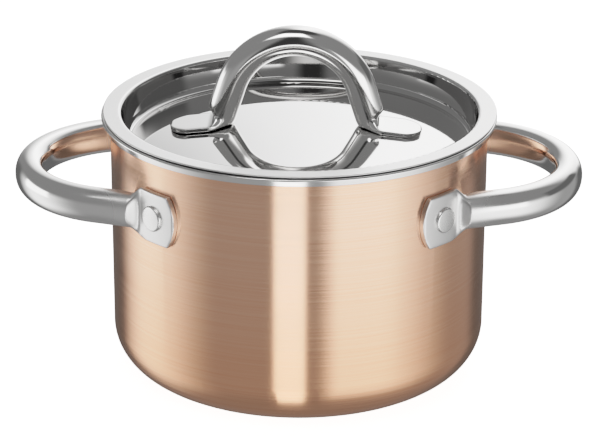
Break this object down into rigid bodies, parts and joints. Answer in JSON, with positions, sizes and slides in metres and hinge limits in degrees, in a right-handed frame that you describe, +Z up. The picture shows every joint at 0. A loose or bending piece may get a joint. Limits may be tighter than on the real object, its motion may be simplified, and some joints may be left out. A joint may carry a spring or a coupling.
{
  "type": "saucepan with lid",
  "caption": "Round copper-clad pot with steel loop handles riveted to its sides and a recessed polished steel lid with an arched handle.",
  "frame": {"origin": "on the surface the pot stands on, below the middle of the pot", "axes": "+Z up, +X and -X through the two side handles, the pot seen from the front when looking along +Y"},
  "size_m": [0.2492, 0.1727, 0.1552],
  "materials": {
    "brushed_copper": null,
    "core_aluminium": "bare sheet, hidden between the other plies",
    "satin_steel": "satin inside, polished on the pouring lip",
    "base_steel": "turned, with fine rings",
    "polished_steel": "polished tube",
    "rivet_steel": "satin head",
    "lid_steel": "satin flange, mirror-polished recess"
  },
  "bodies": {
    "pot": {"pot_copper_skin": "brushed_copper", "pot_aluminium_core": "core_aluminium", "pot_steel_liner": "satin_steel", "base_disc": "base_steel", "side_handle_left": "polished_steel", "side_handle_right": "polished_steel", "rivet_left_front": "rivet_steel", "rivet_left_rear": "rivet_steel", "rivet_right_front": "rivet_steel", "rivet_right_rear": "rivet_steel"},
    "lid": {"lid_pan": "lid_steel", "lid_handle": "polished_steel"}
  },
  "joints": [
    {"name": "lid_lift", "type": "slide", "parent": "pot", "child": "lid", "axis": [0, 0, 1], "range_m": [0, 0.15]}
  ]
}
